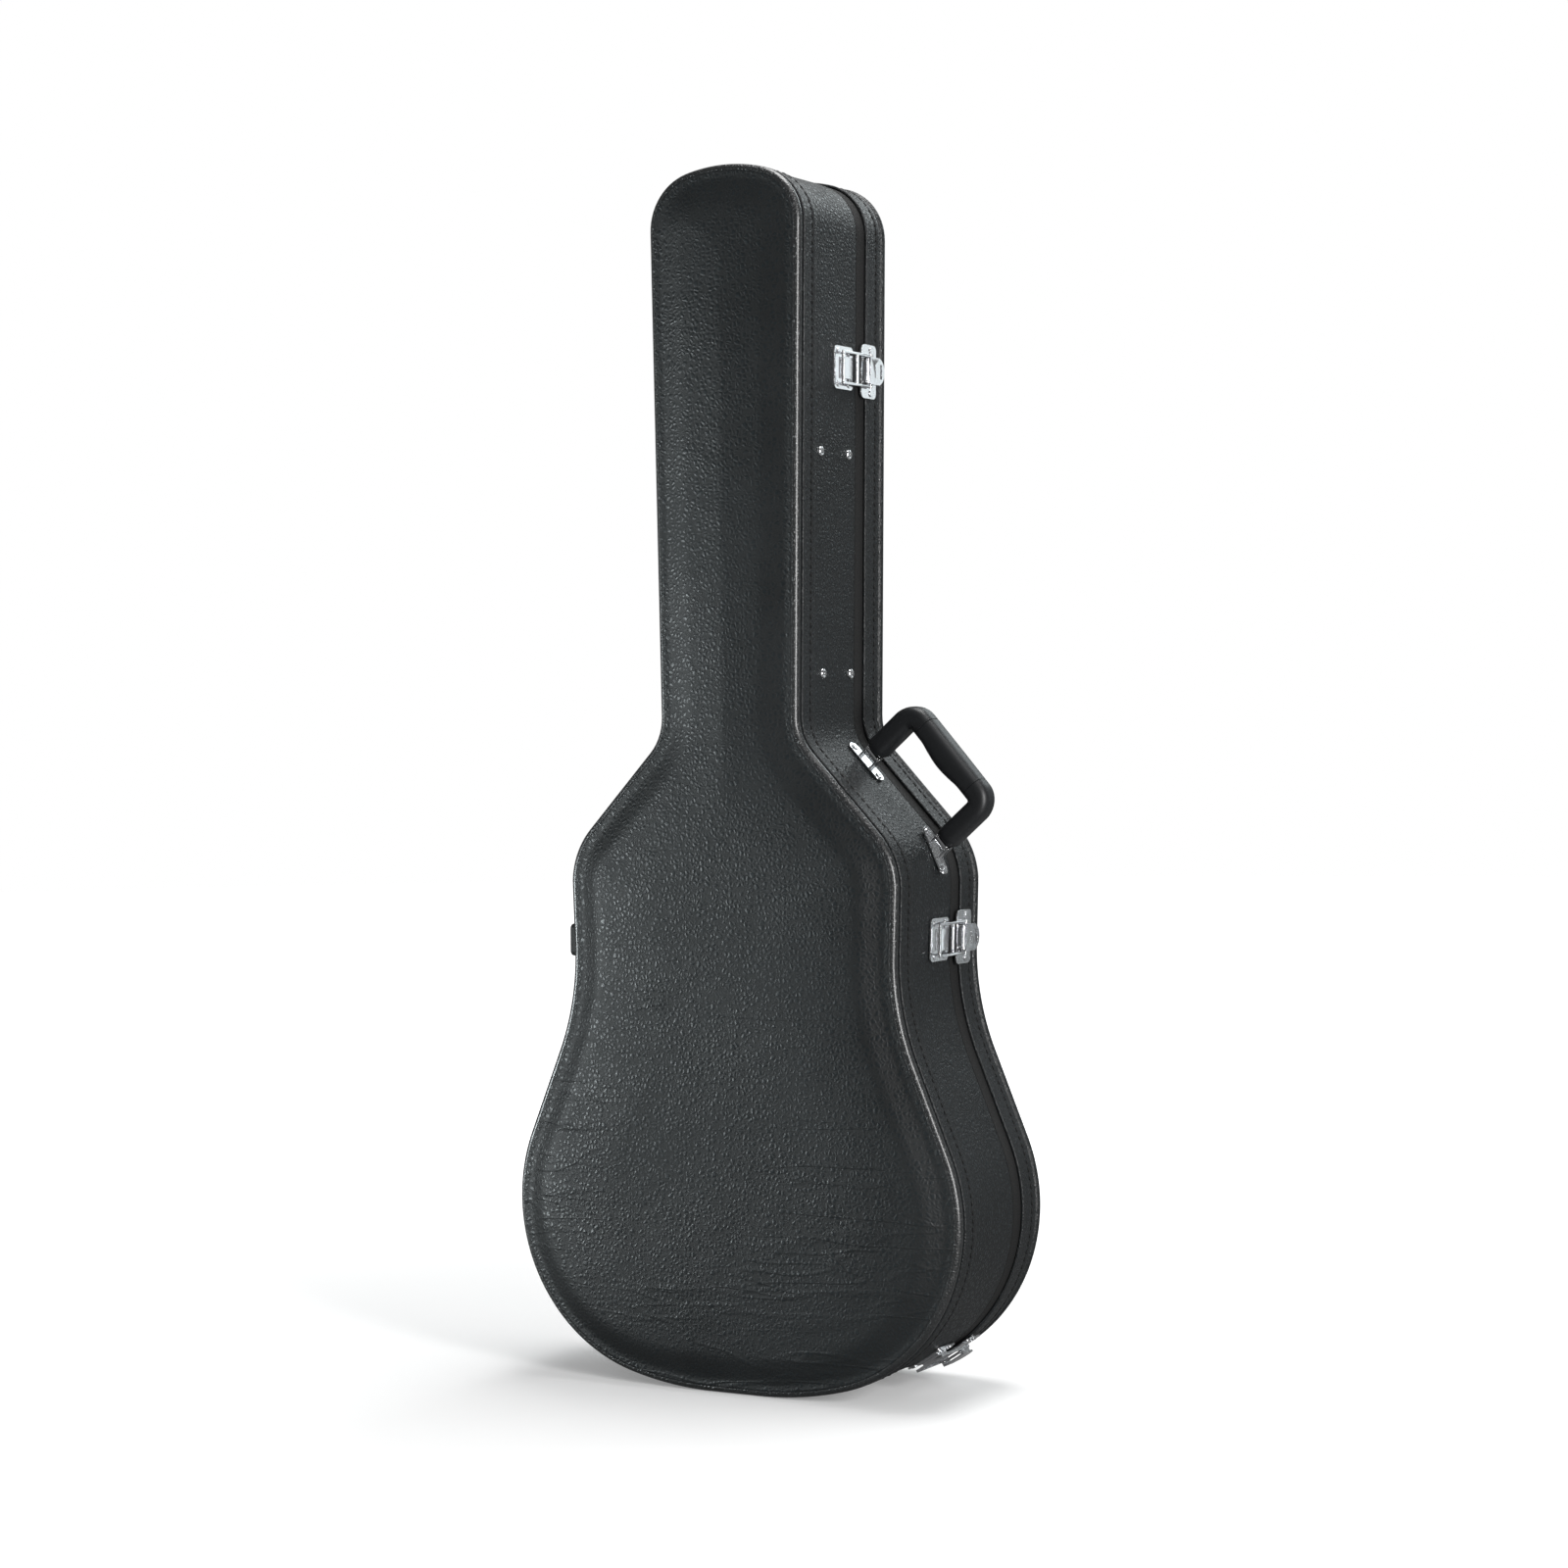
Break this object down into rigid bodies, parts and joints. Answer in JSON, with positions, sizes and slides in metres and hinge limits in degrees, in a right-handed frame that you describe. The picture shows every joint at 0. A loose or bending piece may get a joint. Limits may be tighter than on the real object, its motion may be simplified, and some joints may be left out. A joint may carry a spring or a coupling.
{
  "type": "guitar case",
  "caption": "Hard-shell case for a dreadnought guitar: arched plywood halves in grained vinyl, hinged lid, latches, side handle, lined inside.",
  "frame": {"origin": "bottom centre of the case: the middle of the flat on the tail it stands on", "axes": "+Z from the tail to the head, +Y towards the lid, +X towards the handle and the latches"},
  "size_m": [0.4572, 0.192, 1.0801],
  "materials": {
    "vinyl": "grained vinyl cloth",
    "binding_vinyl": "stitched grained vinyl",
    "edge_vinyl": "smooth rolled vinyl",
    "plywood": "plywood",
    "plush": "short pile plush",
    "ribbon": "woven tape",
    "lip_plastic": "extruded lip",
    "grip_plastic": "moulded, fine grain",
    "foot_rubber": "moulded",
    "hinge_steel": "plated",
    "chrome": "plated"
  },
  "bodies": {
    "body": {"back_binding_band": "binding_vinyl", "back_edge_roll": "edge_vinyl", "back_panel": "vinyl", "body_floor_pad": "plush", "body_side_cover": "vinyl", "body_side_wall": "plywood", "body_tongue": "lip_plastic", "body_wall_pad": "plush", "compartment_end_wall_high": "plush", "compartment_end_wall_low": "plush", "compartment_ledges": "plush", "compartment_rivets": "chrome", "handle_bracket_lower": "chrome", "handle_bracket_upper": "chrome", "handle_pins": "chrome", "handle_screws": "chrome", "hinge_body_rivets": "hinge_steel", "latch_catch_rivets": "chrome", "lower_hinge_body_leaf": "hinge_steel", "lower_hinge_pin": "hinge_steel", "neck_latch_catch": "chrome", "side_foot_back": "foot_rubber", "side_foot_front": "foot_rubber", "tail_latch_catch": "chrome", "upper_hinge_body_leaf": "hinge_steel", "upper_hinge_pin": "hinge_steel", "waist_latch_catch": "chrome"},
    "neck_lever": {"neck_latch_lever": "chrome"},
    "neck_bail": {"neck_latch_bail": "chrome"},
    "waist_lever": {"waist_latch_lever": "chrome"},
    "waist_bail": {"waist_latch_bail": "chrome"},
    "tail_lever": {"tail_latch_lever": "chrome"},
    "tail_bail": {"tail_latch_bail": "chrome"},
    "handle": {"handle_grip": "grip_plastic", "handle_eyelets": "chrome"},
    "flap": {"compartment_flap": "plush", "flap_pull_tab": "ribbon"},
    "lid": {"hinge_lid_rivets": "hinge_steel", "latch_base_rivets": "chrome", "latch_lever_pins": "chrome", "lid_binding_band": "binding_vinyl", "lid_edge_roll": "edge_vinyl", "lid_lining_pad": "plush", "lid_panel": "vinyl", "lid_side_cover": "vinyl", "lid_side_wall": "plywood", "lid_wall_pad": "plush", "lower_hinge_lid_leaf": "hinge_steel", "neck_latch_base": "chrome", "tail_latch_base": "chrome", "upper_hinge_lid_leaf": "hinge_steel", "waist_latch_base": "chrome"}
  },
  "joints": [
    {"name": "lid_hinge", "type": "hinge", "parent": "body", "child": "lid", "pos_m": [-0.22643, 0.029, 0.1889], "axis": [0.1695, 0, 0.9855], "range_deg": [0, 105]},
    {"name": "neck_lever_turn", "type": "hinge", "parent": "lid", "child": "neck_lever", "pos_m": [0.08004, 0.036, 0.90488], "axis": [-0.0157, 0, -0.9999], "range_deg": [0, 105]},
    {"name": "neck_bail_turn", "type": "hinge", "parent": "neck_lever", "child": "neck_bail", "pos_m": [0.07824, 0.044, 0.9049], "axis": [-0.0157, 0, -0.9999], "range_deg": [-136.5, 0]},
    {"name": "waist_lever_turn", "type": "hinge", "parent": "lid", "child": "waist_lever", "pos_m": [0.17041, 0.036, 0.39968], "axis": [-0.0349, 0, -0.9994], "range_deg": [0, 105]},
    {"name": "waist_bail_turn", "type": "hinge", "parent": "waist_lever", "child": "waist_bail", "pos_m": [0.16861, 0.044, 0.39974], "axis": [-0.0349, 0, -0.9994], "range_deg": [-136.5, 0]},
    {"name": "tail_lever_turn", "type": "hinge", "parent": "lid", "child": "tail_lever", "pos_m": [0.15641, 0.036, 0.02631], "axis": [-0.8346, 0, -0.5508], "range_deg": [0, 105]},
    {"name": "tail_bail_turn", "type": "hinge", "parent": "tail_lever", "child": "tail_bail", "pos_m": [0.15541, 0.044, 0.02781], "axis": [-0.8346, 0, -0.5508], "range_deg": [-136.5, 0]},
    {"name": "handle_swing", "type": "hinge", "parent": "body", "child": "handle", "pos_m": [0.13091, 0.007, 0.52298], "axis": [0.6566, 0, -0.7542], "range_deg": [-65, 65]},
    {"name": "flap_turn", "type": "hinge", "parent": "body", "child": "flap", "pos_m": [-0.054, -0.0265, 0.7315], "axis": [0, 0, 1], "range_deg": [0, 48]}
  ],
  "couplings": [
    {"joint": "neck_bail_turn", "follows": "neck_lever_turn", "ratio": -1.3},
    {"joint": "waist_bail_turn", "follows": "waist_lever_turn", "ratio": -1.3},
    {"joint": "tail_bail_turn", "follows": "tail_lever_turn", "ratio": -1.3}
  ]
}
